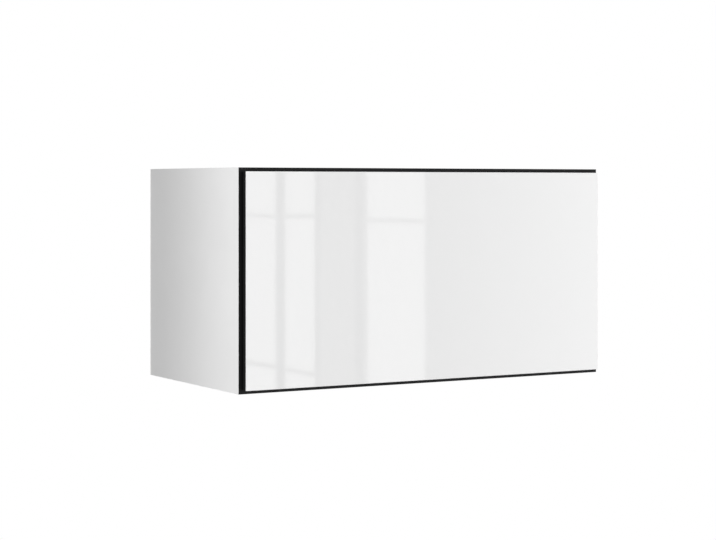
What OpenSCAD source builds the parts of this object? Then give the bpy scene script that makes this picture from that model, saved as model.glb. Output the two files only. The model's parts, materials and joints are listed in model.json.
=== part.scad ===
// Flap door wall cabinet: a white carcass whose board fronts are edged black, and a gloss flap
// that swings up on two cup hinges and two spring stays. Millimetres. The wall is the plane y = 0,
// the front faces -Y, and the origin is the middle of the carcass's lower rear edge.

/* [Cabinet] */
// Width over both side panels
width = 800; // [640:10:1200]
// Height over the top and bottom panels
height = 408; // [360:1:600]
// Depth from the wall to the front of the black edging
depth = 396; // [340:1:450]

/* [Boards] */
// Thickness of the side, top and bottom panels
board = 16; // [15:0.5:19]
// Thickness of the black edging on the board fronts
edge_band = 1; // [0.6:0.1:2]
// Thickness of the back panel
back_t = 3; // [2.5:0.1:4]
// Space between the wall and the back panel
back_recess = 18; // [15:1:24]
// Depth of the groove round the back panel
groove_depth = 7; // [5:0.5:8]

/* [Board joints] */
// Distance from the board fronts, and from the back panel, to the cam locks
joint_inset = 37; // [30:1:60]
// Distance from a cam lock to the dowel beside it
dowel_step = 32; // [24:1:64]
// Diameter of the dowels
dowel_d = 8; // [6:0.5:9]
// Length of a dowel in the side panel
dowel_in_side = 11; // [8:0.5:12]
// Length of a dowel in the end of the top or bottom panel
dowel_in_end = 23; // [15:1:30]
// Diameter of the cam locks
cam_d = 15; // [14:0.5:18]
// Height of the cam locks
cam_h = 12.5; // [11:0.5:13]
// Distance from the side panel to a cam lock's middle
cam_reach = 24; // [22:1:34]

/* [Flap] */
// Black board front left in view round the flap
reveal = 7.2; // [4:0.1:8]
// Gap between the board fronts and the flap's back
flap_gap = 2; // [1.6:0.1:3]
// Thickness of the flap's core board
flap_core_t = 12; // [12:0.5:18]
// Thickness of the gloss sheet on the flap's front
face_t = 1; // [0.8:0.1:3]
// Thickness of the black edging round the flap's core
flap_band = 1; // [0.6:0.1:2]

/* [Cup hinges] */
// Distance from the cabinet's side to a hinge's middle
hinge_inset = 110; // [90:5:180]
// Diameter of the hinge cup
cup_d = 35; // [34:0.5:36]
// Depth of the hinge cup in the flap
cup_depth = 11; // [11:0.1:11.5]
// Depth of the cup's middle below the top panel's underside
cup_drop = 11.2; // [10.4:0.1:11.2]
// Distance from the board fronts to the mounting plate's screws
plate_setback = 37; // [34:1:40]
// Thickness of the pressed steel in arms, cups and links
hinge_t = 1.2; // [1:0.1:1.3]
// Diameter of the three thick hinge pins
hinge_pin_d = 3; // [2.6:0.1:3.2]
// Diameter of the thin pin, which has play in its link
slack_pin_d = 2; // [1.6:0.1:2.2]

/* [Lift stays] */
// Outer radius of the spring drum
drum_r = 38; // [36:0.5:42]
// Depth of the spring drum from the side panel
drum_h = 24; // [20:0.5:30]
// Wall of the spring drum
drum_wall = 2; // [1.5:0.1:3]
// Thickness of the levers, links and bracket ears
arm_t = 3; // [2:0.1:4]
// Width of the levers
lever_w = 16; // [12:0.5:20]
// Width of the links
link_w = 13; // [11:0.5:16]
// Diameter of the stays' pivot pins
stay_pin_d = 5; // [4:0.5:6]
// Turns of the spiral spring
spring_turns = 5; // [4:1:6]
// Thickness of the spring strip
spring_t = 1.4; // [1:0.1:1.8]

/* [Push latch] */
// Outer diameter of the latch barrel
latch_d = 14; // [12:0.5:18]
// Length of the latch barrel
latch_len = 62; // [55:1:80]
// Diameter of the plunger
plunger_d = 8; // [6:0.5:9]

/* [Wall hangers] */
// Width of a hanger housing
hanger_w = 20; // [18:1:26]
// Height of a hanger housing
hanger_h = 62; // [54:1:75]
// Depth of a hanger housing
hanger_depth = 44; // [38:1:50]
// Width of a hanger's hook
hook_w = 12; // [9:0.5:14]

/* [Hidden] */
$fn = 48;
// Clearance of screws, dowels and pegs in their holes
fit = 0.1;
// Running clearance of a pin in a turning link, on the radius
run_fit = 0.06;
// Side clearance between pieces that slide past each other
side_fit = 0.3;
// Sideways step that makes a cut pass right through
cut = 1;
// How far the bodies of one moulded piece reach into each other
join = 1;
// Extra depth drilled past the end of a screw, peg or dowel, and less where a side panel is drilled
overrun = 0.5;
side_overrun = 0.3;
inner_x = width / 2 - board;
board_depth = depth - edge_band;
flap_x = width / 2 - reveal;
flap_z = [reveal, height - reveal];
flap_t = flap_core_t + face_t;
back_y = -back_recess;
back_slack = 0.5;
front_row = -(depth - joint_inset);
rear_row = -(back_recess + back_t + joint_inset);
joint_levels = [board / 2, height - board / 2];
cam_hole = cam_h + overrun;
cam_slot_len = 8;
bolt_d = 5;
bolt_in_side = 11;
shank_d = 7;
shank_len = 14;
bolt_head_d = 6.4;
bolt_head_h = 3;
bolt_neck_d = 4;
bolt_play = 0.5;
end_bore_d = 8;

// Chipboard screws, all of one size
screw_d = 3.5;
screw_head_d = 6.6;
screw_head_h = 1.8;
screw_len = 11;
slot_w = 0.9;
slot_depth = 1;
slot_share = 0.6;
thin_head_d = 6;
thin_head_h = 0.8;
flap_screw_len = 10;

// Pivots of the cup hinge: [distance ahead of the flap's back, height above the panel's underside]
arm_pivot = [-13, -18.5];
tip_pivot = [7.4, -19];
outer_cup_pivot = [2.8, 1.7];
inner_cup_pivot = [5.9, -2.7];
// The inner link's eye starts this far off its pin, because its swing is not quite even
eye_offset = [1.18, 0.27];
eye_play = 1.3;
outer_knee = [7.14, -5.55];
tip_r = 2.8;
outer_eye_r = 2.4;
outer_link_r = 1.9;
inner_eye_r = 3.1;
inner_foot_r = 2.5;
inner_half = 3;
cheek_in = inner_half + side_fit;
cheek_out = cheek_in + hinge_t;
arm_top = -8;
outer_in = cheek_out + side_fit;
outer_out = outer_in + hinge_t;
hinge_x = width / 2 - hinge_inset;
cup_wall = 0.8;
cup_floor = 0.6;
flange_t = 1;
flange_over = 1.5;
cup_screw_x = 24;
cup_screw_drop = 6;
cup_wing_r = 6;
plate_t = 2;
boss_half = inner_half;
boss_deep = 14.8;
arm_screw_d = 4;
arm_screw_head_d = 6;
arm_screw_head_h = 2.2;
arm_screw_len = 11;
plate_screw_x = 16;
wing_r = 7.5;
plate_foot = [14, 38];
plate_foot_shift = 5;
plate_corner = 2;
// The plate's boss reaches this far behind and ahead of its screws, with an arm screw near each end
boss_behind = 18;
boss_ahead = 11;
arm_screw_in = [6, 5];
arm_over = 2;
arm_lip = [2, 0.2];
arm_brow = 3;
arm_shoulder = [2, 0.4];
// Heights of the arm's web, on top, at its rear end and at the boss's nose
arm_web = [-15, -15.9];
arm_eye_r = 2.8;
inner_waist_r = 2.1;
// The strip between the outer link's cheeks: its place and length along the link, and its root in them
web_start = 7.5;
web_len = 8;
web_root = 0.5;
web_from = outer_link_r + 0.1;
web_to = web_from + hinge_t;
// The ears in the cup: how far they run behind and below the pins, and into the cup's wall and floor
ear_behind = 1.4;
ear_below = 2;
ear_in_wall = 0.3;
ear_in_floor = 0.4;

// Pivots of the lift stay, in the same terms
drum_pivot = [-72, -62];
elbow_pivot = [-89.6, -176.4];
bracket_pivot = [-16, -112];
stay_play = 0.2;
base_t = 1.5;
lug_r = 7;
lug_reach = drum_r + 9;
lug_angles = [40, 150, 215, 330];
boss_angles = [95, 275];
boss_out = 1.5;
base_rim = 1;
boss_r = 3.4;
boss_h = 9;
peg_r = 1.6;
peg_rest = 0.2;
stud_r = 4.5;
rivet_over = 1.5;
rivet_h = 1;
drum_chamfer = 2;
drum_fillet = 1.5;
rib_ring = [15, 31];
rib_sink = 0.8;
rib_w = 1.6;
rib_count = 12;
adjuster_boss_r = 4.6;
adjuster_boss_len = 22;
adjuster_boss_in = 1;
adjuster_ahead = 14;
adjuster_depth = 16;
adjuster_screw_d = 5;
adjuster_screw_head_d = 7.5;
adjuster_screw_len = 18;
hub_r = 12;
spring_side = 2;
journal_r = 6;
outlet_r = 8;
lever_in = inner_x - drum_h - 2 * side_fit;
link_in = lever_in - arm_t - side_fit;
ear_in = link_in - arm_t - side_fit;
bracket_w = 26;
bracket_h = 42;
bracket_t = 2;
bracket_screw_z = 13;
bracket_corner = 3;
lever_flare = 3;
ear_r = 6.5;

// Push latch on the bottom panel
latch_plate_t = 2;
latch_plate = [34, 40];
latch_corner = 4;
saddle_in = 1.5;
latch_lift = 1;
latch_screw_x = 12;
latch_wall = 1.8;
latch_neck = 7;
plunger_tip = 0.1;
plunger_fit = 0.16;
plunger_tail = 7;
collar_stop = 1.5;
collar_over = 0.8;
strike_t = 1;
strike = [24, 20];
strike_screw_x = 7;
strike_corner = 3;
plunger_travel = 11;
wire_r = 0.45;
coil_inset = 0.8;
coil_gap = 0.5;
coil_turns = 7;

// Wall hangers
hanger_drop = 14;
hanger_top = height - board - hanger_drop;
hanger_wall = 1.6;
hook_t = 2.5;
hook_lip = 14;
hook_rest = 4;
hook_half = 22;
strap_gap = 6;
hook_rise = 12;
hook_foot = 28;
peg_d = 8;
peg_len = 10;
adjuster_d = 6;
adjuster_inset = 16;
adjuster_head = 0.8;

white = "#f2f2f0";
black = "#1c1c1e";
steel = "#b9bcc0";

// Everything is drawn for the right-hand side, and mirrored for the left
module on_side(s) {
    if (s > 0) children();
    else mirror([1, 0, 0]) children();
}

// Both sides at once
module both_sides() {
    on_side(1) children();
    on_side(-1) children();
}

// Moves the origin to the flap's back, level with the top panel's underside
module from_corner() {
    translate([0, -(depth + flap_gap), height - board]) children();
}

// A plate at x = a to b with its outline drawn as [ahead of the flap's back, above the underside]
module slab(a, b) {
    from_corner() translate([b, 0, 0]) rotate([90, 0, -90]) linear_extrude(b - a) children();
}

// A round rod along x from a to b at point p of the same plane
module rod(a, b, p, r) {
    from_corner() translate([a, -p.x, p.y]) rotate([0, 90, 0]) cylinder(h = b - a, r = r);
}

// A shape turned about the x direction through point p, drawn as [radius, distance from x = a]
module turned(a, p) {
    from_corner() translate([a, -p.x, p.y]) rotate([0, 90, 0]) rotate_extrude() children();
}

// A flat bar with round ends at p and q, a little narrower between them. It tapers if end_r is given
module bar(p, q, r, end_r = 0) {
    last = end_r > 0 ? end_r : r;
    across = bar_waist * [p.y - q.y, q.x - p.x] / norm(q - p);
    translate(p) circle(r);
    translate(q) circle(last);
    polygon([p + r * across, p - r * across, q - last * across, q + last * across]);
}
bar_waist = 0.94;

// A flat plate about the origin with its corners cut off
module cut_corners(w, h, c) {
    x = w / 2;
    y = h / 2;
    polygon([[x - c, y], [x, y - c], [x, c - y], [x - c, -y],
        [c - x, -y], [-x, c - y], [-x, y - c], [c - x, y]]);
}

// A screw with a cross slot: its head's seat is z = 0 and it points down
module screw(d = screw_d, head_d = screw_head_d, head_h = screw_head_h, len = screw_len) {
    difference() {
        union() {
            cylinder(h = head_h, d = head_d);
            translate([0, 0, -len]) cylinder(h = len, d = d);
        }
        for (a = [0, 90]) rotate(a)
            translate([-head_d * slot_share / 2, -slot_w / 2, head_h - min(slot_depth, head_h / 2)])
                cube([head_d * slot_share, slot_w, slot_depth + cut]);
    }
}

// The hole for such a screw, from its seat down
module screw_hole(d = screw_d, len = screw_len) {
    translate([0, 0, -len - overrun]) cylinder(h = len + overrun + cut, d = d + 2 * fit);
}

// Where the screws go on the right-hand side, each with its head towards the user
module at_plate_screws(seat) {
    for (x = [-plate_screw_x, plate_screw_x])
        translate([hinge_x + x, -(depth - plate_setback), height - board - seat])
            rotate([180, 0, 0]) children();
}
// The two screws up through the hinge arm into the plate's boss, with their seat at that height
module at_arm_screw(u, seat) {
    from_corner() translate([hinge_x, -u, seat]) rotate([180, 0, 0]) children();
}
module at_arm_screws(seat) {
    for (u = arm_screw_at) at_arm_screw(u, seat) children();
}
module at_stay_screws(seat) {
    for (a = lug_angles) from_corner()
        translate([inner_x - seat, -(drum_pivot.x + lug_reach * cos(a)), drum_pivot.y + lug_reach * sin(a)])
            rotate([0, -90, 0]) children();
}
module at_latch_screws(seat) {
    for (x = [-latch_screw_x, latch_screw_x])
        translate([x, latch_screw_y, board + seat]) children();
}
module at_cup_screws(seat) {
    for (x = [-cup_screw_x, cup_screw_x]) from_corner()
        translate([hinge_x + x, seat, -cup_drop - cup_screw_drop]) rotate([-90, 0, 0]) children();
}
module at_bracket_screws(seat) {
    for (z = [-bracket_screw_z, bracket_screw_z]) from_corner()
        translate([ear_in - arm_t - bracket_w / 2, seat, bracket_pivot.y + z])
            rotate([-90, 0, 0]) children();
}
module at_strike_screws(seat) {
    for (x = [-strike_screw_x, strike_screw_x])
        translate([x, -(depth + flap_gap) + seat, latch_z]) rotate([-90, 0, 0]) children();
}
latch_z = board + latch_plate_t + latch_lift + latch_d / 2;
latch_screw_y = -(depth - latch_plate.y / 2);

// Carcass boards
module joint_holes() {
    for (y = [front_row, rear_row], z = joint_levels) {
        translate([inner_x - cut, y, z]) rotate([0, 90, 0])
            cylinder(h = bolt_in_side + fit + cut, d = bolt_d + 2 * fit);
        translate([inner_x - cut, y + dowel_side(y) * dowel_step, z]) rotate([0, 90, 0])
            cylinder(h = dowel_in_side + side_overrun + cut, d = dowel_d + 2 * fit);
    }
}
// The front dowels sit behind their cam locks, the rear ones ahead of them
function dowel_side(y) = y == front_row ? 1 : -1;

module back_groove(x, len) {
    translate([x, back_y - back_t - fit, 0]) cube([len, back_t + 2 * fit, height]);
}

module side_panel(s) {
    color(white) on_side(s) difference() {
        translate([inner_x, -board_depth, 0]) cube([board, board_depth, height]);
        back_groove(inner_x - cut, groove_depth + cut);
        joint_holes();
        at_stay_screws(base_t) screw_hole();
        hanger_pegs(fit);
    }
}

module end_holes(face_z, down) {
    z = down < 0 ? face_z - board / 2 : face_z + board / 2;
    for (y = [front_row, rear_row]) {
        translate([inner_x - cam_reach, y, down < 0 ? face_z - cam_hole : face_z - cut])
            cylinder(h = cam_hole + cut, d = cam_d + 2 * fit);
        translate([inner_x - cam_reach, y, z]) rotate([0, 90, 0])
            cylinder(h = cam_reach + cut, d = end_bore_d);
        translate([inner_x - dowel_in_end - overrun, y + dowel_side(y) * dowel_step, z]) rotate([0, 90, 0])
            cylinder(h = dowel_in_end + overrun + cut, d = dowel_d + 2 * fit);
    }
}

module level_panel(z) {
    difference() {
        translate([-inner_x, -board_depth, z]) cube([2 * inner_x, board_depth, board]);
        children();
    }
}

module top_panel() {
    color(white) level_panel(height - board) {
        translate([-inner_x - cut, back_y - back_t - fit, height - board - cut])
            cube([2 * inner_x + 2 * cut, back_t + 2 * fit, groove_depth + cut]);
        both_sides() end_holes(height, -1);
        both_sides() at_plate_screws(plate_t) screw_hole();
    }
}

module bottom_panel() {
    color(white) level_panel(0) {
        translate([-inner_x - cut, back_y - back_t - fit, board - groove_depth])
            cube([2 * inner_x + 2 * cut, back_t + 2 * fit, groove_depth + cut]);
        both_sides() end_holes(board, -1);
        at_latch_screws(latch_plate_t) screw_hole();
    }
}

module back_panel() {
    reach = groove_depth - back_slack;
    color(white) difference() {
        translate([-inner_x - reach, back_y - back_t, board - reach])
            cube([2 * (inner_x + reach), back_t, height - 2 * board + 2 * reach]);
        both_sides()
            translate([inner_x - hanger_w, back_y - back_t - cut, hanger_top - hanger_h + hanger_wall])
                cube([hanger_w - hanger_wall, back_t + 2 * cut, hanger_h - 2 * hanger_wall]);
    }
}

module front_strip(x, z, w, h) {
    color(black) translate([x, -depth, z]) cube([w, edge_band, h]);
}

// Board joints
module at_joints() {
    both_sides() for (y = [front_row, rear_row], top = [0, 1])
        translate([inner_x, y, joint_levels[top]]) children();
}

module cam_bolts() {
    color(steel) at_joints() {
        rotate([0, 90, 0]) cylinder(h = bolt_in_side, d = bolt_d);
        translate([-shank_len, 0, 0]) rotate([0, 90, 0]) cylinder(h = shank_len, d = shank_d);
        translate([-cam_reach, 0, 0]) rotate([0, 90, 0]) cylinder(h = cam_reach, d = bolt_neck_d);
        translate([-cam_reach, 0, 0]) rotate([0, 90, 0]) cylinder(h = bolt_head_h, d = bolt_head_d);
    }
}

module cam_locks() {
    color(steel) both_sides() for (y = [front_row, rear_row], top = [0, 1]) difference() {
        translate([inner_x - cam_reach, y, (top == 1 ? height : board) - cam_h])
            cylinder(h = cam_h, d = cam_d);
        translate([inner_x - cam_reach - bolt_head_h, y, joint_levels[top]]) rotate([0, 90, 0])
            cylinder(h = cam_d + bolt_head_h, d = bolt_head_d + 2 * bolt_play);
        for (a = [0, 90]) translate([inner_x - cam_reach, y, top == 1 ? height : board]) rotate(a)
            translate([-cam_slot_len / 2, -slot_w / 2, -slot_depth])
                cube([cam_slot_len, slot_w, slot_depth + cut]);
    }
}

module dowels() {
    color("burlywood") both_sides() for (y = [front_row, rear_row], z = joint_levels)
        translate([inner_x - dowel_in_end, y + dowel_side(y) * dowel_step, z]) rotate([0, 90, 0])
            cylinder(h = dowel_in_end + dowel_in_side, d = dowel_d);
}

// Wall hangers
module hanger_pegs(grow = 0) {
    for (z = [0.25, 0.75])
        translate([inner_x - cut * (grow > 0 ? 1 : 0), peg_y, hanger_top - hanger_h * z]) rotate([0, 90, 0])
            cylinder(h = peg_len + (grow > 0 ? cut + overrun : 0), r = peg_d / 2 + grow);
}
hanger_back = back_y - back_t - side_fit;
peg_y = hanger_back - hanger_depth / 2;
hook_x = inner_x - hanger_w / 2;
hook_z = hanger_top - hanger_h / 2;

module hanger_housing(s) {
    color("whitesmoke") on_side(s) {
        difference() {
            translate([inner_x - hanger_w, hanger_back - hanger_depth, hanger_top - hanger_h])
                cube([hanger_w, hanger_depth, hanger_h]);
            translate([inner_x - hanger_w + hanger_wall, hanger_back - hanger_depth + 2 * hanger_wall,
                hanger_top - hanger_h + hanger_wall])
                cube([hanger_w - 2 * hanger_wall, hanger_depth, hanger_h - 2 * hanger_wall]);
            for (z = adjuster_levels) translate([hook_x, hanger_back - hanger_depth - cut, z])
                rotate([-90, 0, 0]) cylinder(h = 2 * hanger_wall + 2 * cut, d = adjuster_d + 2 * fit);
        }
        hanger_pegs();
    }
}
adjuster_levels = [hanger_top - adjuster_inset, hanger_top - hanger_h + adjuster_inset];

// A steel strap in the housing, whose hook passes the back panel and turns down behind the rail
module hanger_hook(s) {
    x = hook_x - hook_w / 2;
    front = hanger_back - hanger_depth + 2 * hanger_wall + strap_gap;
    top = hook_z + hook_rise;
    color(steel) on_side(s) {
        translate([x, front, hook_z - hook_half]) cube([hook_w, hook_t, 2 * hook_half]);
        translate([x, front, top - hook_t]) cube([hook_w, -hook_rest - front, hook_t]);
        translate([x, -hook_rest - hook_t, top - hook_lip]) cube([hook_w, hook_t, hook_lip]);
        translate([x, front, hook_z - hook_half]) cube([hook_w, hook_foot, hook_t]);
    }
}

module hanger_adjusters() {
    reach = 2 * hanger_wall + strap_gap - side_fit;
    color("silver") both_sides() for (z = adjuster_levels)
        translate([hook_x, hanger_back - hanger_depth, z]) rotate([90, 0, 0]) difference() {
            translate([0, 0, -reach]) cylinder(h = reach + adjuster_head, d = adjuster_d);
            for (a = [0, 90]) rotate(a)
                translate([-adjuster_d / 3, -slot_w / 2, adjuster_head - slot_depth])
                    cube([adjuster_d * 2 / 3, slot_w, slot_depth + cut]);
        }
}

// Cup hinges
module hinge_plate(s) {
    color(steel) on_side(s) difference() {
        union() {
            translate([hinge_x, -(depth - plate_setback), height - board - plate_t])
                linear_extrude(plate_t) {
                    bar([-plate_screw_x, 0], [plate_screw_x, 0], wing_r);
                    translate([0, plate_foot_shift]) cut_corners(plate_foot.x, plate_foot.y, plate_corner);
                }
            slab(hinge_x - boss_half, hinge_x + boss_half)
                polygon([[boss_tail, -plate_t], [boss_tail, -boss_deep],
                    [boss_nose, -boss_deep], [boss_nose, -plate_t]]);
        }
        at_plate_screws(plate_t) screw_hole();
        at_arm_screws(-boss_deep) screw_hole(d = arm_screw_d, len = arm_screw_len);
    }
}
boss_tail = -flap_gap - plate_setback - boss_behind;
boss_nose = -flap_gap - plate_setback + boss_ahead;
arm_screw_at = [boss_tail + arm_screw_in[0], boss_nose - arm_screw_in[1]];

arm_rear = boss_tail - arm_over;
arm_floor = tip_pivot.y - tip_r;
// Height of the web's underside
function web_under(u) =
    arm_web[0] - hinge_t + (arm_web[1] - arm_web[0]) * (u - arm_rear) / (boss_nose - arm_rear);

module arm_cheek() {
    difference() {
        union() {
            polygon([[arm_rear, arm_top], [arm_rear, arm_web[0]], [boss_nose, arm_web[1]],
                [arm_pivot.x - tip_r, arm_floor], [tip_pivot.x, arm_floor],
                [tip_pivot.x, arm_floor + 2 * tip_r],
                [arm_pivot.x + arm_shoulder[0], arm_floor + 2 * tip_r + arm_shoulder[1]],
                [boss_nose + arm_brow, arm_top]]);
            translate(tip_pivot) circle(tip_r);
        }
        for (p = [arm_pivot, tip_pivot]) translate(p) circle(hinge_pin_d / 2 + fit / 2);
    }
}

module hinge_arm(s) {
    color(steel) on_side(s) difference() {
        union() {
            for (m = [-cheek_out, cheek_in]) slab(hinge_x + m, hinge_x + m + hinge_t) arm_cheek();
            slab(hinge_x - cheek_out, hinge_x + cheek_out)
                polygon([[arm_rear, arm_web[0]], [boss_nose, arm_web[1]],
                    [boss_nose + arm_lip[0], arm_web[1] - hinge_t + arm_lip[1]],
                    [boss_nose, web_under(boss_nose)], [arm_rear, web_under(arm_rear)]]);
        }
        at_arm_screws(web_under(boss_nose)) screw_hole(d = arm_screw_d, len = 2 * hinge_t);
    }
}

module hinge_arm_screws() {
    color("silver") both_sides() for (u = arm_screw_at)
        at_arm_screw(u, web_under(u + arm_screw_head_d / 2))
            screw(arm_screw_d, arm_screw_head_d, arm_screw_head_h, arm_screw_len);
}

module hinge_arm_pins() {
    color("silver") both_sides() {
        rod(hinge_x - outer_out - side_fit, hinge_x + outer_out + side_fit, arm_pivot, hinge_pin_d / 2);
        rod(hinge_x - cheek_out - fit, hinge_x + cheek_out + fit, tip_pivot, hinge_pin_d / 2);
    }
}

module outer_link_outline() {
    difference() {
        union() {
            bar(arm_pivot, outer_knee, outer_link_r);
            bar(outer_knee, outer_cup_pivot, outer_link_r);
            translate(arm_pivot) circle(arm_eye_r);
            translate(outer_cup_pivot) circle(outer_eye_r);
            link_web(outer_link_r - web_root, web_to);
        }
        for (p = [arm_pivot, outer_cup_pivot]) translate(p) circle(hinge_pin_d / 2 + run_fit);
    }
}

// The strip on the hollow side of the outer link that joins its two cheeks
module link_web(from, to) {
    reach = outer_knee - arm_pivot;
    translate(arm_pivot) rotate(atan2(reach.y, reach.x)) translate([web_start, from])
        square([web_len, to - from]);
}

module hinge_outer_link(s) {
    color("gainsboro") on_side(s) {
        for (m = [-outer_out, outer_in]) slab(hinge_x + m, hinge_x + m + hinge_t) outer_link_outline();
        slab(hinge_x - outer_out, hinge_x + outer_out) link_web(web_from, web_to);
    }
}

module hinge_inner_link(s) {
    eye = inner_cup_pivot + eye_offset;
    color("gainsboro") on_side(s) slab(hinge_x - inner_half, hinge_x + inner_half) difference() {
        union() {
            bar(tip_pivot, eye, inner_waist_r);
            translate(tip_pivot) circle(inner_foot_r);
            translate(eye) circle(inner_eye_r);
        }
        translate(tip_pivot) circle(hinge_pin_d / 2 + run_fit);
        translate(eye) circle(slack_pin_d / 2 + eye_play);
    }
}

module cup_disc(r, from, to) {
    from_corner() translate([hinge_x, -from, -cup_drop]) rotate([90, 0, 0]) cylinder(h = to - from, r = r);
}

module cup_ear() {
    difference() {
        union() {
            translate(outer_cup_pivot) circle(outer_eye_r);
            translate(inner_cup_pivot) circle(outer_eye_r);
            polygon([[outer_cup_pivot.x - outer_eye_r, outer_cup_pivot.y],
                [inner_cup_pivot.x - ear_behind, inner_cup_pivot.y - ear_below],
                [ear_deep, inner_cup_pivot.y - ear_below],
                [ear_deep, ear_top], [outer_cup_pivot.x - outer_eye_r, ear_top]]);
        }
        translate(outer_cup_pivot) circle(hinge_pin_d / 2 + fit / 2);
        translate(inner_cup_pivot) circle(slack_pin_d / 2 + fit / 2);
    }
}
ear_top = sqrt(pow(cup_d / 2 - cup_wall, 2) - pow(cheek_out, 2)) - cup_drop + ear_in_wall;
ear_deep = cup_depth - cup_floor + ear_in_floor;

module hinge_cup(s) {
    color(steel) on_side(s) {
        difference() {
            union() {
                cup_disc(cup_d / 2, 0, cup_depth);
                cup_disc(cup_d / 2 + flange_over, -flange_t, 0);
                from_corner() translate([hinge_x, flange_t, -cup_drop - cup_screw_drop]) rotate([90, 0, 0])
                    linear_extrude(flange_t) bar([-cup_screw_x, 0], [cup_screw_x, 0], cup_wing_r);
            }
            cup_disc(cup_d / 2 - cup_wall, -flange_t - cut, cup_depth - cup_floor);
            at_cup_screws(flange_t) screw_hole();
        }
        for (m = [-cheek_out, cheek_in]) slab(hinge_x + m, hinge_x + m + hinge_t) cup_ear();
    }
}

module hinge_cup_pins() {
    color("silver") both_sides() {
        for (m = [-1, 1]) {
            a = hinge_x + (m > 0 ? cheek_in : -outer_out - side_fit);
            rod(a, a + outer_out + side_fit - cheek_in, outer_cup_pivot, hinge_pin_d / 2);
        }
        rod(hinge_x - cheek_out - fit, hinge_x + cheek_out + fit, inner_cup_pivot, slack_pin_d / 2);
    }
}

// Lift stays
function boss_at(a) = drum_pivot + (drum_r + boss_out) * [cos(a), sin(a)];

module stay_base(s) {
    color(steel) on_side(s) difference() {
        slab(inner_x - base_t, inner_x) {
            translate(drum_pivot) circle(drum_r);
            for (a = lug_angles) bar(drum_pivot, drum_pivot + lug_reach * [cos(a), sin(a)], lug_r);
            for (a = boss_angles) bar(drum_pivot, boss_at(a), boss_r + base_rim);
        }
        for (a = boss_angles) rod(inner_x - base_t - cut, inner_x + cut, boss_at(a), peg_r + fit);
        rod(inner_x - base_t - cut, inner_x + cut, drum_pivot, journal_r + run_fit);
        at_stay_screws(base_t) screw_hole();
    }
}

// Across the drum's wall: a chamfered front with a sunk ring, and an open rear
module drum_profile(len) {
    bore = drum_r - drum_wall;
    polygon([[outlet_r + run_fit, 0], [rib_ring[0], 0], [rib_ring[0], rib_sink], [rib_ring[1], rib_sink],
        [rib_ring[1], 0], [drum_r - drum_chamfer, 0], [drum_r, drum_chamfer], [drum_r, len], [bore, len],
        [bore, drum_wall + drum_fillet], [bore - drum_fillet, drum_wall], [outlet_r + run_fit, drum_wall]]);
}

module stay_drum(s) {
    front = inner_x - drum_h;
    seat = inner_x - base_t;
    color("white") on_side(s) {
        turned(front, drum_pivot) drum_profile(drum_h - base_t);
        slab(front, front + rib_sink + fit) for (i = [0:rib_count - 1])
            translate(drum_pivot) rotate(360 * i / rib_count)
                translate([rib_ring[0] - fit, -rib_w / 2])
                    square([rib_ring[1] - rib_ring[0] + 2 * fit, rib_w]);
        difference() {
            union() {
                for (a = boss_angles) {
                    rod(seat - boss_h, seat, boss_at(a), boss_r);
                    rod(seat - boss_h, inner_x - peg_rest, boss_at(a), peg_r);
                }
                at_stay_adjuster() translate([0, 0, -adjuster_boss_len]) {
                    cylinder(h = adjuster_boss_len, r = adjuster_boss_r);
                    translate([-rib_w, 0, 0]) cube([2 * rib_w, 2 * adjuster_boss_r, adjuster_boss_len]);
                }
            }
            rod(front, seat + cut, drum_pivot, drum_r - drum_wall / 2);
            at_stay_adjuster() screw_hole(d = adjuster_screw_d, len = adjuster_screw_len);
        }
    }
}

// A screw in a boss under the drum, which winds the spring up to suit the flap's weight
module at_stay_adjuster() {
    from_corner() translate([inner_x - adjuster_depth, -(drum_pivot.x + adjuster_ahead),
        drum_pivot.y - drum_r - adjuster_boss_r + adjuster_boss_in]) rotate([90, 0, 0]) children();
}

module stay_adjusters() {
    color("silver") both_sides() at_stay_adjuster()
        screw(d = adjuster_screw_d, head_d = adjuster_screw_head_d, len = adjuster_screw_len);
}

// A flat strip wound from the hub out to the drum's wall
module spring_outline() {
    start = hub_r + side_fit;
    grow = (drum_r - drum_wall - side_fit - spring_t - start) / spring_turns;
    steps = 24 * spring_turns;
    function wound(i, out) = (start + out + grow * i / 24) * [cos(15 * i), sin(15 * i)];
    polygon(concat([for (i = [0:steps]) wound(i, 0)], [for (i = [steps:-1:0]) wound(i, spring_t)]));
}

module stay_spring(s) {
    color("dimgray") on_side(s)
        slab(inner_x - drum_h + drum_wall + spring_side, inner_x - base_t - spring_side)
            translate(drum_pivot) spring_outline();
}

module stay_hub(s) {
    front = inner_x - drum_h;
    color("lightgray") on_side(s) {
        rod(front + drum_wall + side_fit, inner_x - base_t - side_fit, drum_pivot, hub_r);
        rod(lever_in, front + drum_wall + join, drum_pivot, outlet_r);
        rod(lever_in - arm_t, lever_in + join, drum_pivot, stud_r);
        rod(lever_in - arm_t - rivet_h, lever_in - arm_t, drum_pivot, stud_r + rivet_over);
        rod(inner_x - base_t - join, inner_x - side_fit, drum_pivot, journal_r);
    }
}

module stay_lever(s) {
    color("gainsboro") on_side(s) slab(lever_in - arm_t, lever_in) difference() {
        bar(drum_pivot, elbow_pivot, lever_w / 2 + lever_flare, lever_w / 2);
        translate(drum_pivot) circle(stud_r + fit / 2);
        translate(elbow_pivot) circle(stay_pin_d / 2 + fit / 2);
    }
}

module stay_elbow_pin(s) {
    end = link_in - arm_t - side_fit;
    color("silver") on_side(s) {
        rod(end, lever_in, elbow_pivot, stay_pin_d / 2);
        rod(end - rivet_h, end, elbow_pivot, stay_pin_d / 2 + rivet_over);
    }
}

module stay_link(s) {
    color("gainsboro") on_side(s) slab(link_in - arm_t, link_in) difference() {
        bar(elbow_pivot, bracket_pivot, link_w / 2);
        translate(elbow_pivot) circle(stay_pin_d / 2 + run_fit);
        translate(bracket_pivot) circle(stay_pin_d / 2 + stay_play);
    }
}

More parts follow.
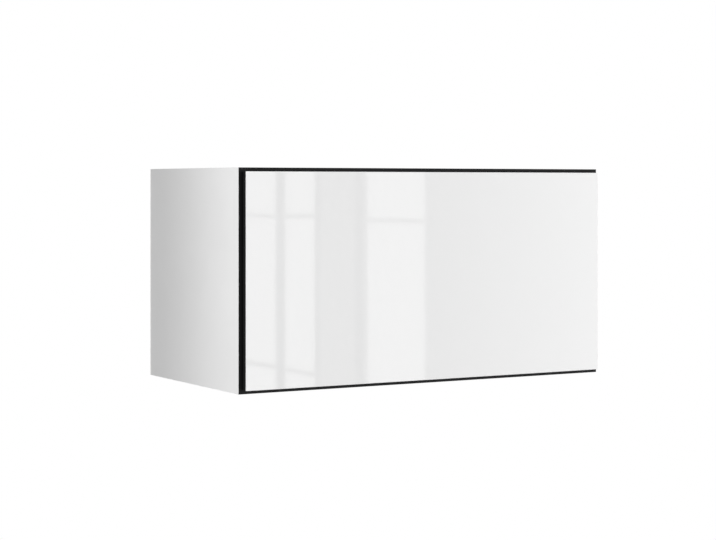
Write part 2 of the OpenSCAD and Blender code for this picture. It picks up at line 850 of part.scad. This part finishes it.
module stay_bracket(s) {
    color(steel) on_side(s) difference() {
        union() {
            slab(ear_in - arm_t, ear_in) {
                translate(bracket_pivot) circle(ear_r);
                translate([0, bracket_pivot.y]) polygon([[bracket_pivot.x, bar_waist * ear_r],
                    [-bracket_t, bracket_h / 2], [0, bracket_h / 2], [0, -bracket_h / 2],
                    [-bracket_t, -bracket_h / 2], [bracket_pivot.x, -bar_waist * ear_r]]);
            }
            from_corner() translate([ear_in - (arm_t + bracket_w) / 2, bracket_t, bracket_pivot.y])
                rotate([90, 0, 0]) linear_extrude(bracket_t)
                    cut_corners(arm_t + bracket_w, bracket_h, bracket_corner);
        }
        rod(ear_in - arm_t - cut, ear_in + cut, bracket_pivot, stay_pin_d / 2 + fit / 2);
        at_bracket_screws(bracket_t) screw_hole();
    }
}

module stay_bracket_pins() {
    color("silver") both_sides() {
        rod(ear_in - arm_t, link_in + side_fit, bracket_pivot, stay_pin_d / 2);
        rod(link_in + side_fit, link_in + side_fit + rivet_h, bracket_pivot, stay_pin_d / 2 + rivet_over);
    }
}

// Push latch
module latch_barrel(d, from, to) {
    translate([0, from, latch_z]) rotate([-90, 0, 0]) cylinder(h = to - from, d = d);
}
latch_front = -depth;
latch_back = latch_front + latch_len;
plunger_front = -(depth + flap_gap) + strike_t + plunger_tip;
plunger_rear = latch_front + latch_neck + plunger_travel + plunger_tail;

module latch_housing() {
    color("whitesmoke") difference() {
        union() {
            latch_barrel(latch_d, latch_front, latch_back);
            translate([0, latch_screw_y, board]) linear_extrude(latch_plate_t)
                cut_corners(latch_plate.x, latch_plate.y, latch_corner);
            translate([saddle_in - latch_d / 2, latch_front, board])
                cube([latch_d - 2 * saddle_in, latch_plate.y, latch_z - board]);
        }
        latch_barrel(plunger_d + 2 * plunger_fit, latch_front - cut, latch_front + latch_neck + cut);
        latch_barrel(latch_d - 2 * latch_wall, latch_front + latch_neck, latch_back - latch_wall);
        at_latch_screws(latch_plate_t) screw_hole();
    }
}

module latch_plunger() {
    color("dimgray") {
        latch_barrel(plunger_d, plunger_front, plunger_rear);
        latch_barrel(plunger_d + 2 * collar_over, latch_front + latch_neck + plunger_travel + collar_stop,
            plunger_rear - join);
    }
}

// A round wire coil, swept as rings of six points
module latch_spring() {
    mean = plunger_d / 2 - coil_inset;
    start = plunger_rear + coil_gap + wire_r;
    rise = latch_back - latch_wall - coil_gap - wire_r - start;
    steps = coil_turns * 16;
    function out(i) = [cos(22.5 * i), 0, sin(22.5 * i)];
    function centre(i) = [0, start + rise * i / steps, latch_z] + mean * out(i);
    rings = [for (i = [0:steps], k = [0:5])
        centre(i) + wire_r * (cos(60 * k) * out(i) + sin(60 * k) * [0, 1, 0])];
    sides = [for (i = [0:steps - 1], k = [0:5]) let (a = i * 6 + k, b = i * 6 + (k + 1) % 6) each
        [[a, b + 6, b], [a, a + 6, b + 6]]];
    ends = [for (k = [1:4]) each [[0, k, k + 1], [steps * 6, steps * 6 + k + 1, steps * 6 + k]]];
    color("silver") polyhedron(rings, concat(sides, ends));
}

module strike_plate() {
    color(steel) difference() {
        translate([0, strike_t - depth - flap_gap, latch_z]) rotate([90, 0, 0]) linear_extrude(strike_t)
            cut_corners(strike.x, strike.y, strike_corner);
        at_strike_screws(strike_t) screw_hole();
    }
}

// Screws
module carcass_screws() {
    color("silver") {
        both_sides() at_plate_screws(plate_t) screw();
        both_sides() at_stay_screws(base_t) screw();
        at_latch_screws(latch_plate_t) screw();
    }
}

module flap_screws() {
    color("silver") {
        both_sides() at_cup_screws(flange_t) screw(len = flap_screw_len);
        both_sides() at_bracket_screws(bracket_t) screw(len = flap_screw_len);
        at_strike_screws(strike_t) screw(head_d = thin_head_d, head_h = thin_head_h, len = flap_screw_len);
    }
}

// Flap
module flap_box(from, to, inset) {
    translate([-flap_x + inset, -(depth + flap_gap) - to, flap_z[0] + inset])
        cube([2 * (flap_x - inset), to - from, flap_z[1] - flap_z[0] - 2 * inset]);
}

module flap_core() {
    color("burlywood") difference() {
        flap_box(0, flap_core_t, flap_band);
        both_sides() cup_disc(cup_d / 2 + fit, -cut, cup_depth);
        both_sides() at_cup_screws(flange_t) screw_hole(len = flap_screw_len);
        both_sides() at_bracket_screws(bracket_t) screw_hole(len = flap_screw_len);
        at_strike_screws(strike_t) screw_hole(len = flap_screw_len);
    }
}

module flap_face() {
    color("white") flap_box(flap_core_t, flap_t, 0);
}

module flap_strip(x, z, w, h) {
    color(black) translate([x, -(depth + flap_gap + flap_core_t), z]) cube([w, flap_core_t, h]);
}

side_panel(-1);  // side_panel_left
side_panel(1);  // side_panel_right
top_panel();
bottom_panel();
back_panel();
front_strip(-width / 2, 0, board, height);  // edging_left
front_strip(inner_x, 0, board, height);  // edging_right
front_strip(-inner_x, height - board, 2 * inner_x, board);  // edging_top
front_strip(-inner_x, 0, 2 * inner_x, board);  // edging_bottom
cam_bolts();
cam_locks();
dowels();
hanger_housing(-1);  // hanger_housing_left
hanger_housing(1);  // hanger_housing_right
hanger_hook(-1);  // hanger_hook_left
hanger_hook(1);  // hanger_hook_right
hanger_adjusters();
hinge_plate(-1);  // hinge_plate_left
hinge_plate(1);  // hinge_plate_right
hinge_arm(-1);  // hinge_arm_left
hinge_arm(1);  // hinge_arm_right
hinge_arm_screws();
hinge_arm_pins();
hinge_outer_link(-1);  // hinge_outer_link_left
hinge_outer_link(1);  // hinge_outer_link_right
hinge_inner_link(-1);  // hinge_inner_link_left
hinge_inner_link(1);  // hinge_inner_link_right
hinge_cup(-1);  // hinge_cup_left
hinge_cup(1);  // hinge_cup_right
hinge_cup_pins();
stay_base(-1);  // stay_base_left
stay_base(1);  // stay_base_right
stay_drum(-1);  // stay_drum_left
stay_drum(1);  // stay_drum_right
stay_spring(-1);  // stay_spring_left
stay_spring(1);  // stay_spring_right
stay_hub(-1);  // stay_hub_left
stay_hub(1);  // stay_hub_right
stay_adjusters();
stay_lever(-1);  // stay_lever_left
stay_lever(1);  // stay_lever_right
stay_elbow_pin(-1);  // stay_elbow_pin_left
stay_elbow_pin(1);  // stay_elbow_pin_right
stay_link(-1);  // stay_link_left
stay_link(1);  // stay_link_right
stay_bracket(-1);  // stay_bracket_left
stay_bracket(1);  // stay_bracket_right
stay_bracket_pins();
latch_housing();
latch_plunger();
latch_spring();
strike_plate();
carcass_screws();
flap_screws();
flap_core();
flap_face();
flap_strip(-flap_x, flap_z[0], flap_band, flap_z[1] - flap_z[0]);  // flap_edging_left
flap_strip(flap_x - flap_band, flap_z[0], flap_band, flap_z[1] - flap_z[0]);  // flap_edging_right
flap_strip(-flap_x + flap_band, flap_z[1] - flap_band, 2 * (flap_x - flap_band), flap_band);  // flap_edging_top
flap_strip(-flap_x + flap_band, flap_z[0], 2 * (flap_x - flap_band), flap_band);  // flap_edging_bottom
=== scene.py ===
import json
import math

import bmesh
import bpy
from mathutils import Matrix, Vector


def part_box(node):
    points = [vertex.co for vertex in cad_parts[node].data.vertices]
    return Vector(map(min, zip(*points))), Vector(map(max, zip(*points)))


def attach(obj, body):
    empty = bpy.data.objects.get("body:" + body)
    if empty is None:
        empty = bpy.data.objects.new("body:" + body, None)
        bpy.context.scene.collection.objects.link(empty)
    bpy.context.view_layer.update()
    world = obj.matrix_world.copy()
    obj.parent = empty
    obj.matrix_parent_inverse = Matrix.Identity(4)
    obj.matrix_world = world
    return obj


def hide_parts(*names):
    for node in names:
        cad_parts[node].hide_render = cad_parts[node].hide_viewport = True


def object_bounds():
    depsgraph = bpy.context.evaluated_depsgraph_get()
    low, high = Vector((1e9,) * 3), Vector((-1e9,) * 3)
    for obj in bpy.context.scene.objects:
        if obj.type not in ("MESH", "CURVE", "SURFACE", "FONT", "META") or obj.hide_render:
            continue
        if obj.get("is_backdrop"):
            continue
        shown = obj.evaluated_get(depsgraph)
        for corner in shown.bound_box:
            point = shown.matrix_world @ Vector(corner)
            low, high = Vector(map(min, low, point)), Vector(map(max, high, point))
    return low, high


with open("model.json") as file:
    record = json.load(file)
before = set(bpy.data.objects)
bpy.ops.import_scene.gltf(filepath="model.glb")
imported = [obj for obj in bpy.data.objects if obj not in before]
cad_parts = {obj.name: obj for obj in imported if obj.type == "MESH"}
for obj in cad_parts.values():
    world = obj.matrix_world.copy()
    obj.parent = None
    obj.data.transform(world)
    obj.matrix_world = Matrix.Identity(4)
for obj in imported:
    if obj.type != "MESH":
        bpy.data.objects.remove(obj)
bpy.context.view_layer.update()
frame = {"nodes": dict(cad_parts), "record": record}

# The camera stands left of the cabinet and looks level across it, so the upright edges stay upright.
# It is a long lens well back, and its picture is shifted down to bring the cabinet to the middle.
camera = bpy.data.objects.new("camera", bpy.data.cameras.new("camera"))
bpy.context.scene.collection.objects.link(camera)
bpy.context.scene.camera = camera
camera.location = (-1.846, -3.339, 0.375)
camera.rotation_euler = (math.radians(90), 0, math.radians(-29.91))
camera.data.sensor_width = 36
camera.data.lens = 91.66
camera.data.shift_y = -0.1177
bpy.context.scene.view_settings.view_transform = "Standard"


# The carcass boards are 16 mm chipboard faced with white melamine paper, pressed on under heat.
# The long front corners are eased where the edging was trimmed, and the rear edges are left raw.
body_of = {node: body for body, nodes in frame["record"]["behaviour"]["bodies"].items() for node in nodes}


def linear(code):
    """An sRGB hex colour as the linear colour that the shaders take."""
    parts = [int(code[i:i + 2], 16) / 255 for i in (1, 3, 5)]
    return [p / 12.92 if p <= 0.04045 else ((p + 0.055) / 1.055) ** 2.4 for p in parts] + [1]


def add(tree, kind, inputs=None, **settings):
    """Adds a node with its settings, and sets or links each named input."""
    node = tree.nodes.new(kind)
    for name, value in settings.items():
        setattr(node, name, value)
    for socket, value in (inputs or {}).items():
        if isinstance(value, bpy.types.NodeSocket):
            tree.links.new(value, node.inputs[socket])
        else:
            node.inputs[socket].default_value = value
    return node


def new_material(name, colour, roughness, metallic=0, ior=1.5):
    """A material with its constants on the shader, and the object coordinates that its patterns read."""
    material = bpy.data.materials.new(name)
    material.use_nodes = True
    tree = material.node_tree
    shader = tree.nodes["Principled BSDF"]
    shader.inputs["Base Color"].default_value = linear(colour)
    shader.inputs["Roughness"].default_value = roughness
    shader.inputs["Metallic"].default_value = metallic
    if not metallic:
        shader.inputs["IOR"].default_value = ior
    return material, tree, shader, add(tree, "ShaderNodeTexCoord").outputs["Object"]


def ramp(tree, factor, *stops):
    """A colour ramp through (position, hex colour) stops."""
    node = add(tree, "ShaderNodeValToRGB", {"Fac": factor})
    elements = node.color_ramp.elements
    while len(elements) < len(stops):
        elements.new(0.5)
    for element, (position, colour) in zip(elements, stops):
        element.position = position
        element.color = linear(colour)
    return node.outputs["Color"]


def relief(tree, shader, height, depth):
    """Turns a pattern into a bump of that depth in metres."""
    bump = add(tree, "ShaderNodeBump", {"Height": height, "Distance": depth})
    tree.links.new(bump.outputs["Normal"], shader.inputs["Normal"])


corner_from = math.radians(40)
flat_below = math.radians(0.5)
smooth_below = math.radians(35)
weld = 0.000002
tolerance = 0.00002


def sharp(edge):
    """Picks every edge where two faces meet at a corner."""
    return len(edge.link_faces) == 2 and edge.calc_face_angle(0) > corner_from


def eased(name, material, width, chosen=sharp, segments=2):
    """A copy of a CAD piece with the chosen edges rounded, which stands in the CAD piece's place."""
    piece = bpy.data.objects.new(name + "_eased", frame["nodes"][name].data.copy())
    bpy.context.scene.collection.objects.link(piece)
    bpy.ops.object.select_all(action="DESELECT")
    bpy.context.view_layer.objects.active = piece
    piece.select_set(True)
    bpy.ops.object.mode_set(mode="EDIT")
    bpy.ops.mesh.select_all(action="SELECT")
    bpy.ops.mesh.remove_doubles(threshold=weld)
    bpy.ops.mesh.dissolve_limited(angle_limit=flat_below)
    bpy.ops.mesh.select_all(action="DESELECT")
    bpy.ops.mesh.select_mode(type="EDGE")
    shape = bmesh.from_edit_mesh(piece.data)
    for edge in shape.edges:
        edge.select = chosen(edge)
    shape.select_flush_mode()
    bmesh.update_edit_mesh(piece.data)
    bpy.ops.mesh.bevel(offset=width, segments=segments, affect="EDGES", clamp_overlap=False)
    bpy.ops.object.mode_set(mode="OBJECT")
    bpy.ops.object.shade_smooth_by_angle(angle=smooth_below)
    flat = piece.modifiers.new("flat_faces_stay_flat", "WEIGHTED_NORMAL")
    flat.weight = 100
    flat.keep_sharp = True
    bpy.ops.object.modifier_apply(modifier=flat.name)
    piece.data.materials.clear()
    piece.data.materials.append(material)
    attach(piece, body_of[name])
    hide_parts(name)


def dress(material, *names):
    """Gives CAD pieces that keep their own mesh a finished material."""
    for name in names:
        slots = frame["nodes"][name].data.materials
        slots.clear()
        slots.append(material)


# White melamine on chipboard: satin, with a faint pebble pressed into it and hardly any colour change.
# Within half a millimetre of the wall plane the board's raw rear edge shows: coarse tan chips, dead matt.
melamine, tree, shader, place = new_material("white_melamine_on_chipboard", "#efefef", 0.42)
patches = add(tree, "ShaderNodeTexNoise", {"Vector": place, "Scale": 9, "Detail": 2})
paper = ramp(tree, patches.outputs["Fac"], (0.3, "#eeeeee"), (0.7, "#f1f1f1"))
chips = add(tree, "ShaderNodeTexNoise", {"Vector": place, "Scale": 330, "Detail": 4, "Roughness": 0.7})
wood = ramp(tree, chips.outputs["Fac"], (0.3, "#7d5f3e"), (0.5, "#bf9d70"), (0.7, "#dcc5a0"))
wall_plane = 0
raw_depth = 0.0005
back = add(tree, "ShaderNodeSeparateXYZ", {"Vector": place}).outputs["Y"]
raw = add(tree, "ShaderNodeMath", {0: back, 1: wall_plane - raw_depth}, operation="GREATER_THAN").outputs[0]
colour = add(tree, "ShaderNodeMix", {0: raw, 6: paper, 7: wood}, data_type="RGBA").outputs[2]
tree.links.new(colour, shader.inputs["Base Color"])
sheen = add(tree, "ShaderNodeMapRange", {"Value": patches.outputs["Fac"], "To Min": 0.38, "To Max": 0.46})
dull = add(tree, "ShaderNodeMix", {0: raw, 2: sheen.outputs[0], 3: 0.95}, data_type="FLOAT").outputs[0]
tree.links.new(dull, shader.inputs["Roughness"])
pebble = add(tree, "ShaderNodeTexNoise", {"Vector": place, "Scale": 450, "Detail": 1})
pebble, chips = pebble.outputs["Fac"], chips.outputs["Fac"]
heights = add(tree, "ShaderNodeMix", {0: raw, 2: pebble, 3: chips}, data_type="FLOAT").outputs[0]
relief(tree, shader, heights, 0.00003)


def board_corner(name):
    """Picks the straight outer corners of a board, and none of the rims of its holes and grooves."""
    low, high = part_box(name)

    def chosen(edge):
        shared = 0
        for axis in range(3):
            ends = [vertex.co[axis] for vertex in edge.verts]
            for side in (low[axis], high[axis]):
                shared += all(abs(end - side) < tolerance for end in ends)
        return shared == 2
    return chosen


board_easing = 0.0003
for name in ("side_panel_left", "side_panel_right", "top_panel", "bottom_panel"):
    eased(name, melamine, board_easing, board_corner(name))


# The edging is black ABS strip, 1 mm thick, glued to the front edges and trimmed to a small radius.
# It is extruded and then milled, so it is a deep, dull black with a very fine tooth.
black_abs, tree, shader, place = new_material("black_abs_edging", "#131314", 0.45)
shader.inputs["Specular IOR Level"].default_value = 0.15
tooth = add(tree, "ShaderNodeTexNoise", {"Vector": place, "Scale": 700, "Detail": 2})
relief(tree, shader, tooth.outputs["Fac"], 0.00002)
wear = add(tree, "ShaderNodeTexNoise", {"Vector": place, "Scale": 25, "Detail": 3})
rub = add(tree, "ShaderNodeMapRange", {"Value": wear.outputs["Fac"], "To Min": 0.4, "To Max": 0.5})
tree.links.new(rub.outputs[0], shader.inputs["Roughness"])
trim_radius = 0.0003
for name in ("edging_left", "edging_right", "edging_top", "edging_bottom"):
    eased(name, black_abs, trim_radius)


# The back is 3 mm hardboard, slid into grooves round the boards: white lacquer inside, bare behind.
# The bare side is brown pressed fibre with a felted look.
lacquer = "#ebebe8"
hardboard, tree, shader, place = new_material("lacquered_hardboard", lacquer, 0.5)
fibre = add(tree, "ShaderNodeTexNoise", {"Vector": place, "Scale": 240, "Detail": 6, "Roughness": 0.75})
brown = ramp(tree, fibre.outputs["Fac"], (0.32, "#6b4a2e"), (0.52, "#8f6a45"), (0.7, "#a98660"))
bare_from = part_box("back_panel")[1].y - 0.0002
back = add(tree, "ShaderNodeSeparateXYZ", {"Vector": place}).outputs["Y"]
bare = add(tree, "ShaderNodeMath", {0: back, 1: bare_from}, operation="GREATER_THAN").outputs[0]
colour = add(tree, "ShaderNodeMix", {0: bare, 6: linear(lacquer), 7: brown}, data_type="RGBA").outputs[2]
tree.links.new(colour, shader.inputs["Base Color"])
dull = add(tree, "ShaderNodeMix", {0: bare, 2: 0.45, 3: 0.85}, data_type="FLOAT").outputs[0]
tree.links.new(dull, shader.inputs["Roughness"])
relief(tree, shader, fibre.outputs["Fac"], 0.00004)
dress(hardboard, "back_panel")


# The boards are pulled together by cam locks of die-cast zinc turned onto steel bolts, and lined up by
# beech dowels. Only the cams' cross-slotted faces show, on top of the cabinet and inside its floor.
cast_zinc, tree, shader, place = new_material("die_cast_zinc", "#a9acb0", 0.42, metallic=1)
skin = add(tree, "ShaderNodeTexNoise", {"Vector": place, "Scale": 380, "Detail": 3})
relief(tree, shader, skin.outputs["Fac"], 0.00004)
cam_rim = 0.00025
eased("cam_locks", cast_zinc, cam_rim)
dress(cast_zinc, "cam_bolts")
beech, tree, shader, place = new_material("beech_dowel", "#c9a273", 0.7)
along = add(tree, "ShaderNodeMapping", {"Vector": place, "Scale": (60, 900, 900)})
grain = add(tree, "ShaderNodeTexNoise", {"Vector": along.outputs[0], "Scale": 1, "Detail": 4})
streaks = ramp(tree, grain.outputs["Fac"], (0.35, "#b98c5c"), (0.65, "#d6b388"))
tree.links.new(streaks, shader.inputs["Base Color"])
dress(beech, "dowels")


# Each wall hanger is a moulded white polyamide housing pegged to the side, with a steel hook in it
# that two screws lift and draw in. The hook comes out through the back panel.
def moulded(name, colour, roughness, grit, detail, depth):
    """A plastic with the fine grit of its spark-eroded mould, so many grains to the metre."""
    material, tree, shader, place = new_material(name, colour, roughness)
    grains = add(tree, "ShaderNodeTexNoise", {"Vector": place, "Scale": grit, "Detail": detail})
    relief(tree, shader, grains.outputs["Fac"], depth)
    return material


polyamide = moulded("white_moulded_polyamide", "#e6e6e3", 0.48, 800, 2, 0.00003)
plated, tree, shader, place = new_material("nickel_plated_pressed_steel", "#c6c8ca", 0.24, metallic=1)
rolled = add(tree, "ShaderNodeTexNoise", {"Vector": place, "Scale": 260, "Detail": 4})
shine = add(tree, "ShaderNodeMapRange", {"Value": rolled.outputs["Fac"], "To Min": 0.18, "To Max": 0.32})
tree.links.new(shine.outputs[0], shader.inputs["Roughness"])
relief(tree, shader, rolled.outputs["Fac"], 0.00001)
moulded_edge = 0.0004
blanked_edge = 0.0003
for side in ("left", "right"):
    eased("hanger_housing_" + side, polyamide, moulded_edge)
    eased("hanger_hook_" + side, plated, blanked_edge)


# Screws and pins are steel wire, headed cold and zinc plated with a pale blue passivation.
zinc_plate, tree, shader, place = new_material("blue_zinc_plated_steel", "#c3c7cc", 0.3, metallic=1)
flow = add(tree, "ShaderNodeTexNoise", {"Vector": place, "Scale": 500, "Detail": 3})
tint = ramp(tree, flow.outputs["Fac"], (0.35, "#bcc2ca"), (0.65, "#cfd0cd"))
tree.links.new(tint, shader.inputs["Base Color"])
head_rim = 0.00015
for name in ("hanger_adjusters", "stay_adjusters", "carcass_screws", "flap_screws", "hinge_arm_screws",
             "hinge_arm_pins", "hinge_cup_pins", "stay_bracket_pins", "stay_elbow_pin_left",
             "stay_elbow_pin_right"):
    eased(name, zinc_plate, head_rim)


# The cup hinges are pressed from 1.2 mm steel strip and nickel plated. Each has a plate with a raised
# boss under the top panel, an arm screwed over the boss, and two links that run into the flap's cup.
strip_edge = 0.0002
for side in ("left", "right"):
    for part in ("plate", "arm", "outer_link", "inner_link", "cup"):
        eased("hinge_" + part + "_" + side, plated, strip_edge)


# The lift stays keep a spiral spring in a moulded drum on the side panel. The spring turns a hub, and
# the hub's lever lifts a link that is pinned to a bracket on the flap.
glass_filled = moulded("light_grey_glass_filled_polyamide", "#c9cbcd", 0.5, 650, 2, 0.00005)
acetal = moulded("grey_moulded_acetal", "#8e9194", 0.38, 900, 1, 0.00002)
spring_steel, tree, shader, place = new_material("oiled_spring_steel", "#55585c", 0.3, metallic=1)
scale = add(tree, "ShaderNodeTexNoise", {"Vector": place, "Scale": 150, "Detail": 3})
heat_tint = ramp(tree, scale.outputs["Fac"], (0.35, "#45484d"), (0.65, "#666a6e"))
tree.links.new(heat_tint, shader.inputs["Base Color"])
bearing_edge = 0.0003
for side in ("left", "right"):
    for part in ("base", "lever", "link", "bracket"):
        eased("stay_" + part + "_" + side, plated, blanked_edge)
    eased("stay_drum_" + side, glass_filled, moulded_edge)
    eased("stay_hub_" + side, acetal, bearing_edge)
    dress(spring_steel, "stay_spring_" + side)


# The push latch is a moulded barrel on the bottom panel with a sprung plunger that bears on a steel plate
# on the flap: a push on the closed flap lets the plunger out, and it starts the flap on its way.
dark_acetal = moulded("dark_grey_moulded_acetal", "#4d4f52", 0.36, 900, 1, 0.00002)
eased("latch_housing", glass_filled, moulded_edge)
eased("latch_plunger", dark_acetal, bearing_edge)
dress(spring_steel, "latch_spring")
eased("strike_plate", plated, strip_edge)


# The flap is 12 mm board under a 1 mm sheet of cast acrylic, white right through and polished, which
# covers its whole front. Black edging runs round the board behind the sheet.
acrylic, tree, shader, place = new_material("white_gloss_acrylic", "#f1f1f1", 0.032, ior=1.49)
swell = add(tree, "ShaderNodeTexNoise", {"Vector": place, "Scale": 4, "Detail": 1})
relief(tree, shader, swell.outputs["Fac"], 0.00012)
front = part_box("flap_face")[0].y
polished_edge = 0.0008


def on_front(edge):
    """Picks the edges of the sheet's front face."""
    return all(vertex.co.y < front + tolerance for vertex in edge.verts)


eased("flap_face", acrylic, polished_edge, on_front, segments=4)
dress(melamine, "flap_core")
for name in ("flap_edging_left", "flap_edging_right", "flap_edging_top", "flap_edging_bottom"):
    eased(name, black_abs, trim_radius)


# The studio: a plain pale floor well below the hanging cabinet, which the camera sees as plain white
# like the world round it, and soft lamps. The world's own light is kept lower than the white it shows.
# The floor is clear from underneath, so that the cabinet can be looked at from below as it is on a wall.
def white_to_the_eye(tree, seen, unseen):
    """Shows the seen shader to the camera, mirrors and glass, and the unseen one to all other light."""
    path = add(tree, "ShaderNodeLightPath").outputs
    looking = path["Is Camera Ray"]
    for ray in ("Is Glossy Ray", "Is Transmission Ray"):
        looking = add(tree, "ShaderNodeMath", {0: looking, 1: path[ray]}, operation="MAXIMUM").outputs[0]
    return add(tree, "ShaderNodeMixShader", {0: looking, 1: unseen, 2: seen}).outputs[0]


def plane(name, size, **placing):
    """A square of the studio, which isn't a piece of the cabinet."""
    bpy.ops.object.select_all(action="DESELECT")
    bpy.ops.mesh.primitive_plane_add(size=size, **placing)
    bpy.context.object.name = name
    return bpy.context.object


def bare_material(name):
    """A material with an empty tree."""
    material = bpy.data.materials.new(name)
    material.use_nodes = True
    material.node_tree.nodes.clear()
    return material, material.node_tree


world = bpy.data.worlds.new("studio")
bpy.context.scene.world = world
world.use_nodes = True
tree = world.node_tree
tree.nodes.clear()
bright = add(tree, "ShaderNodeBackground", {"Color": (1, 1, 1, 1), "Strength": 1}).outputs[0]
gentle = add(tree, "ShaderNodeBackground", {"Color": (1, 1, 1, 1), "Strength": 0.64}).outputs[0]
add(tree, "ShaderNodeOutputWorld", {"Surface": white_to_the_eye(tree, bright, gentle)})

floor = plane("floor", 40, location=(0, 0, -1.2))
paint, tree = bare_material("pale_studio_floor")
white = add(tree, "ShaderNodeEmission", {"Color": (1, 1, 1, 1), "Strength": 1}).outputs[0]
matt = add(tree, "ShaderNodeBsdfDiffuse", {"Color": linear("#e8e8e8")}).outputs[0]
clear = add(tree, "ShaderNodeBsdfTransparent").outputs[0]
under = add(tree, "ShaderNodeNewGeometry").outputs["Backfacing"]
above = white_to_the_eye(tree, white, matt)
both_ways = add(tree, "ShaderNodeMixShader", {0: under, 1: above, 2: clear}).outputs[0]
add(tree, "ShaderNodeOutputMaterial", {"Surface": both_ways})
floor.data.materials.append(paint)
floor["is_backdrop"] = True

for name, stand, aim, width, height, power in (
        ("front_lamp", (0.6, -7, 1.6), (0, -0.4, 0.2), 3, 3, 96),
        ("low_lamp", (0.2, -5, -0.7), (0, -0.4, 0.2), 2.4, 0.6, 18),
        ("left_strip", (-0.76, -0.415, 0.3), (-0.4, -0.4, 0.28), 0.06, 1.6, 1.62),
        ("right_strip", (0.76, -0.415, 0.3), (0.4, -0.4, 0.28), 0.06, 1.6, 1.62)):
    light = bpy.data.objects.new(name, bpy.data.lights.new(name, "AREA"))
    bpy.context.scene.collection.objects.link(light)
    light.data.shape = "RECTANGLE"
    light.data.size = width
    light.data.size_y = height
    light.data.energy = power
    light.location = stand
    light.rotation_euler = (Vector(stand) - Vector(aim)).to_track_quat("Z", "Y").to_euler()
    light.visible_camera = light.visible_glossy = False

# Black flags stand beside the cabinet on the wall plane, where the wall and its neighbours keep light
# off the rear of the sides. Nothing but plain light finds them.
upright = (math.radians(90), 0, 0)
for name, x in (("left_flag", -0.735), ("right_flag", 0.735)):
    flag = plane(name, 1, location=(x, 0.03, 0.2), rotation=upright)
    flag.scale = (0.6, 2.4, 1)
    flag.visible_camera = flag.visible_glossy = flag.visible_transmission = False
    cloth = bpy.data.materials.new(name)
    cloth.use_nodes = True
    cloth.node_tree.nodes["Principled BSDF"].inputs["Base Color"].default_value = linear("#101010")
    flag.data.materials.append(cloth)
    flag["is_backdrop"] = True

# The gloss front mirrors two tall windows of the room with their bars, and a bright wall beyond them.
# Only mirror-like light finds these cards, which stand in front of the flap, out of the camera's sight.
mirror_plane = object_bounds()[0].y
card_distance = 2.6
card_plane = mirror_plane - card_distance
eye = camera.location
reach = card_distance / (mirror_plane - eye.y)


def thrown(seen_at, eye_at):
    """Where on the card plane the thing stands that the eye sees mirrored at that place of the flap."""
    return seen_at + (seen_at - eye_at) * reach


def card(name, left, right, foot, head, strength, lift=0):
    """A glowing card whose mirror image covers that part of the flap, in metres on the flap. Its foot and
    head are heights at its left and right ends, and lift sets it before the other cards."""
    sheet = plane(name, 1)
    for vertex in sheet.data.vertices:
        end = int(vertex.co.x > 0)
        x = (left, right)[end]
        z = (foot, head)[int(vertex.co.y > 0)][end]
        vertex.co = (thrown(x, eye.x), card_plane + lift, thrown(z, eye.z))
    sheet.visible_camera = sheet.visible_diffuse = sheet.visible_shadow = sheet.visible_transmission = False
    glow, tree = bare_material(name)
    light = add(tree, "ShaderNodeEmission", {"Color": (1, 1, 1, 1), "Strength": strength})
    add(tree, "ShaderNodeOutputMaterial", {"Surface": light.outputs[0]})
    sheet.data.materials.append(glow)
    sheet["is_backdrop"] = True
    return light, tree


low, high = (-0.4, -0.4), (0.9, 0.9)
ahead = 0.01
card("left_pane", -0.43, -0.333, low, high, 2.95)
card("left_pane_bar", -0.43, -0.328, (0.321, 0.315), (0.329, 0.323), 0.9, ahead)
card("left_pane_sill", -0.43, -0.328, (0.062, 0.043), (0.07, 0.051), 0.5, ahead)
card("middle_pane", -0.314, -0.252, low, high, 2.95)
card("middle_pane_bar", -0.314, -0.252, (0.316, 0.316), (0.324, 0.324), 0.9, ahead)
card("middle_pane_sill", -0.314, -0.252, (0.039, 0.025), (0.047, 0.033), 0.7, ahead)
card("right_pane", -0.141, -0.016, low, high, 3.1)
card("right_pane_bar", -0.143, -0.016, (0.306, 0.304), (0.314, 0.312), 1.2, ahead)
card("first_post", -0.333, -0.3145, low, high, 0.15)
card("second_post", -0.252, -0.24, low, high, 0.3)
card("third_post", -0.168, -0.15, low, high, 0.35)

# The wall grows brighter from the last window on, up to a little short of the flap's right end.
wall_from, wall_to, brightest_at = -0.016, 0.6, 0.4
wall_glow, tree = card("bright_wall", wall_from, wall_to, low, high, 1)
spot = add(tree, "ShaderNodeTexCoord").outputs["Object"]
along = add(tree, "ShaderNodeSeparateXYZ", {"Vector": spot}).outputs["X"]
rise = add(tree, "ShaderNodeMapRange", {"Value": along, "To Min": 1, "To Max": 2.85,
                                        "From Min": thrown(wall_from, eye.x),
                                        "From Max": thrown(brightest_at, eye.x)})
tree.links.new(rise.outputs[0], wall_glow.inputs["Strength"])
